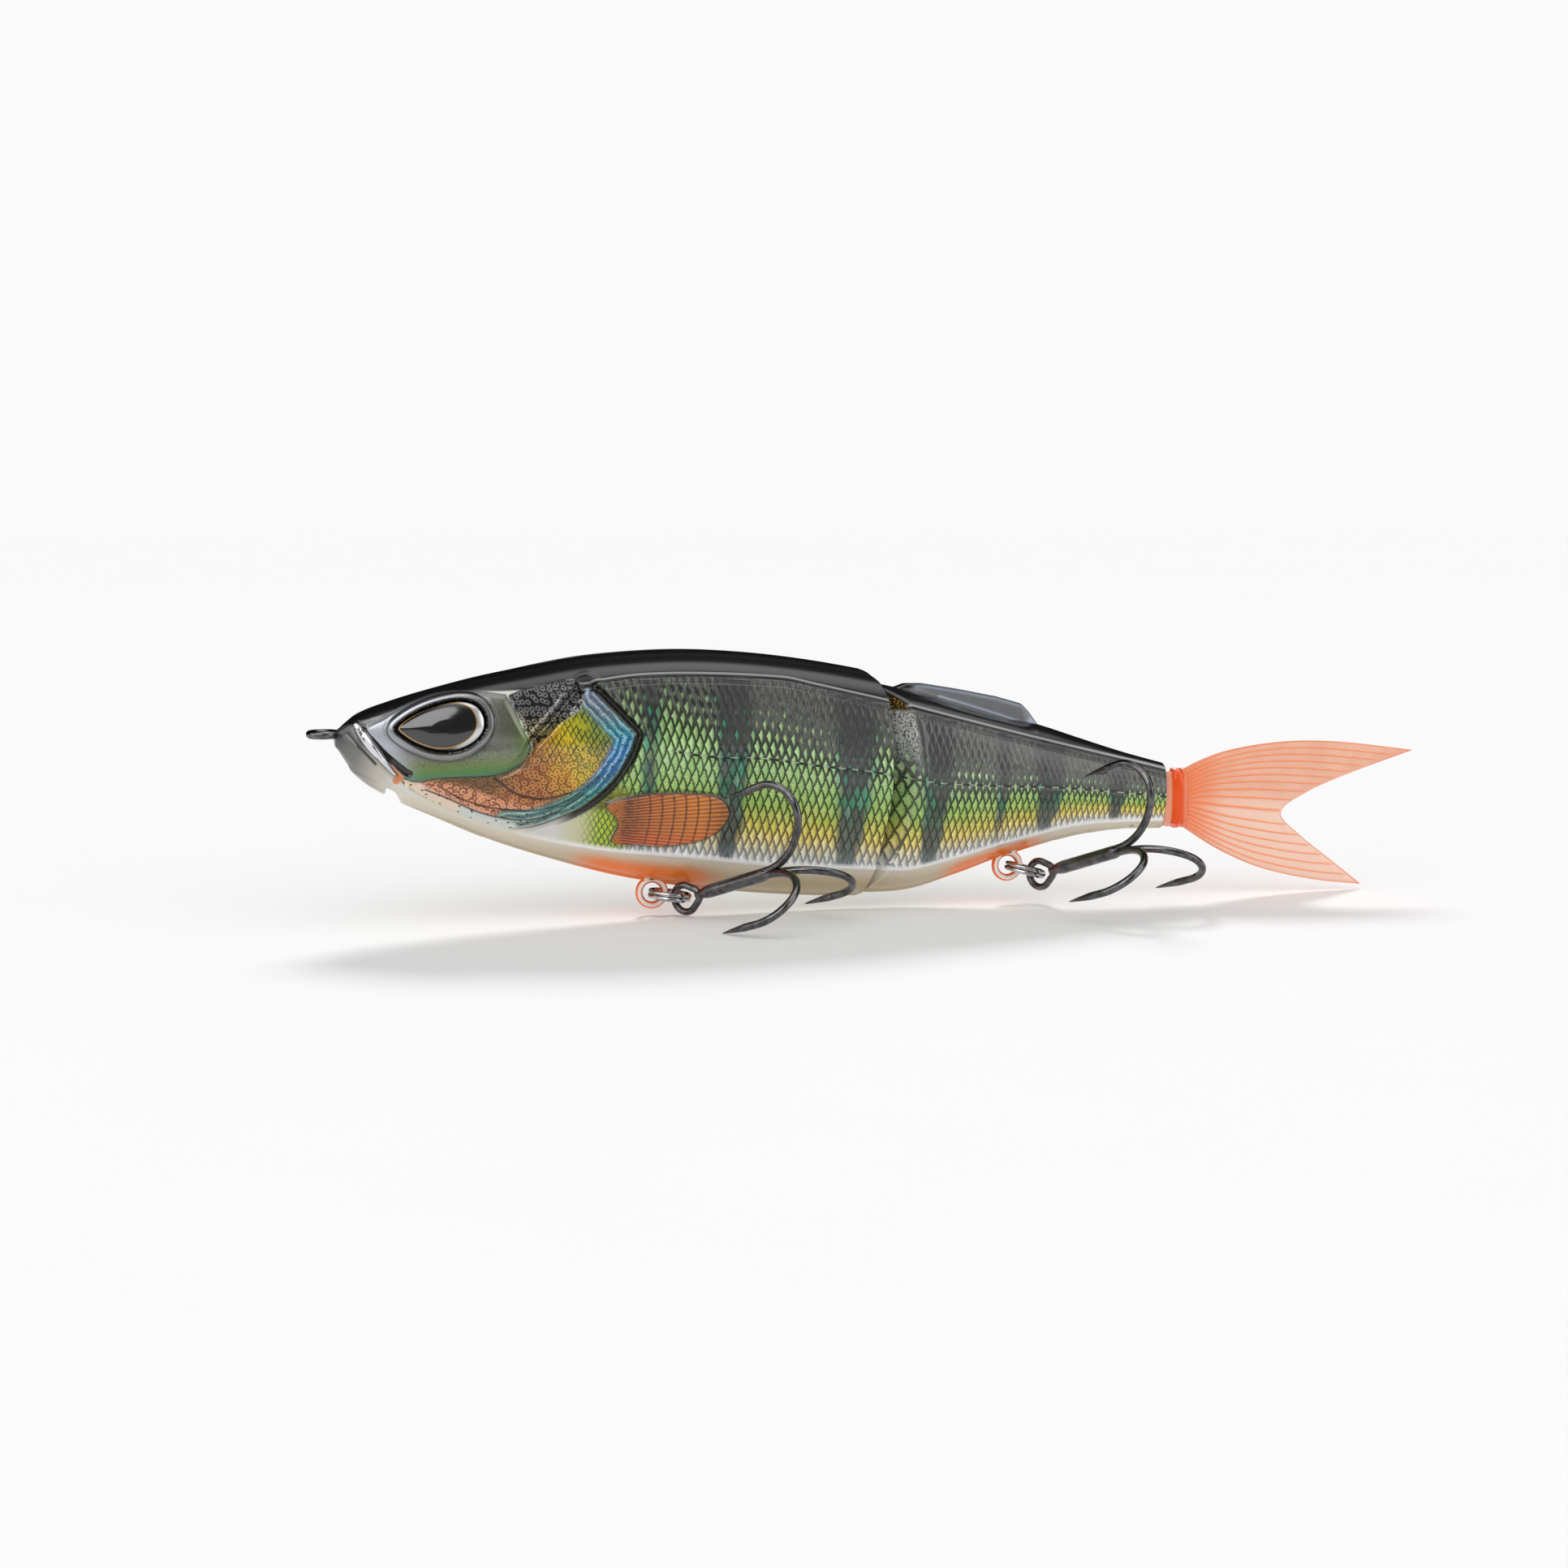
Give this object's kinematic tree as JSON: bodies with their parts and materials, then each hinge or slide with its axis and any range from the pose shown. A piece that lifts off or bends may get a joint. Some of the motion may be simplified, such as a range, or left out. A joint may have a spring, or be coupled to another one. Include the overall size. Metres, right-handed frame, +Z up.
{
  "type": "swimbait",
  "caption": "Two-section hard swimbait shaped like a perch, hinged behind the middle, with a soft forked tail and treble hooks on split rings.",
  "frame": {"origin": "centre of the line-tie eye on the nose", "axes": "+X from the nose towards the tail, level; +Z up; -Y is the fish's left flank"},
  "size_m": [0.1824, 0.0409, 0.0409],
  "materials": {
    "painted_body": "clear-coated perch paint over foil scale print",
    "eye_foil": "reflective foil disc",
    "eye_lens": "clear domed resin over a dark pupil",
    "stainless_wire": "drawn stainless wire",
    "painted_wire": "steel wire under the belly's gloss coat",
    "ballast_metal": "cast slug",
    "soft_tail": "translucent soft moulding",
    "ring_steel": "polished spring steel",
    "hook_nickel": "black nickel plating"
  },
  "bodies": {
    "front_section": {"front_shell_left": "painted_body", "front_shell_right": "painted_body", "eye_foil_left": "eye_foil", "eye_foil_right": "eye_foil", "eye_lens_left": "eye_lens", "eye_lens_right": "eye_lens", "line_tie": "stainless_wire", "front_hook_hanger": "painted_wire", "upper_hinge_eye": "stainless_wire", "lower_hinge_eye": "stainless_wire", "front_ballast": "ballast_metal"},
    "rear_section": {"rear_shell_left": "painted_body", "rear_shell_right": "painted_body", "hinge_pin": "stainless_wire", "rear_hook_hanger": "painted_wire", "rear_ballast": "ballast_metal", "tail_root": "soft_tail", "tail_pin": "stainless_wire"},
    "tail": {"tail_fin": "soft_tail"},
    "front_ring": {"front_split_ring": "ring_steel"},
    "front_treble": {"front_treble_hook": "hook_nickel"},
    "rear_ring": {"rear_split_ring": "ring_steel"},
    "rear_treble": {"rear_treble_hook": "hook_nickel"}
  },
  "joints": [
    {"name": "body_hinge", "type": "hinge", "parent": "front_section", "child": "rear_section", "pos_m": [0.0875, 0, -0.01], "axis": [0, 0, 1], "range_deg": [-24, 24]},
    {"name": "tail_flex", "type": "hinge", "parent": "rear_section", "child": "tail", "pos_m": [0.1372, 0, -0.013], "axis": [0, 0, 1], "range_deg": [-25, 25], "stiffness_Nm_per_rad": 0.006},
    {"name": "front_ring_swing", "type": "hinge", "parent": "front_section", "child": "front_ring", "pos_m": [0.0501, 0, -0.0256], "axis": [0, 1, 0], "range_deg": [0, 80]},
    {"name": "front_treble_swing", "type": "hinge", "parent": "front_ring", "child": "front_treble", "pos_m": [0.05455, -0.00404, -0.02622], "axis": [0.7586, 0.6428, -0.1066], "range_deg": [-3, 60]},
    {"name": "rear_ring_swing", "type": "hinge", "parent": "rear_section", "child": "rear_ring", "pos_m": [0.1084, 0, -0.0232], "axis": [0, 1, 0], "range_deg": [-8, 80]},
    {"name": "rear_treble_swing", "type": "hinge", "parent": "rear_ring", "child": "rear_treble", "pos_m": [0.11269, -0.00366, -0.02435], "axis": [0.828, 0.515, -0.2218], "range_deg": [-10, 60]}
  ]
}
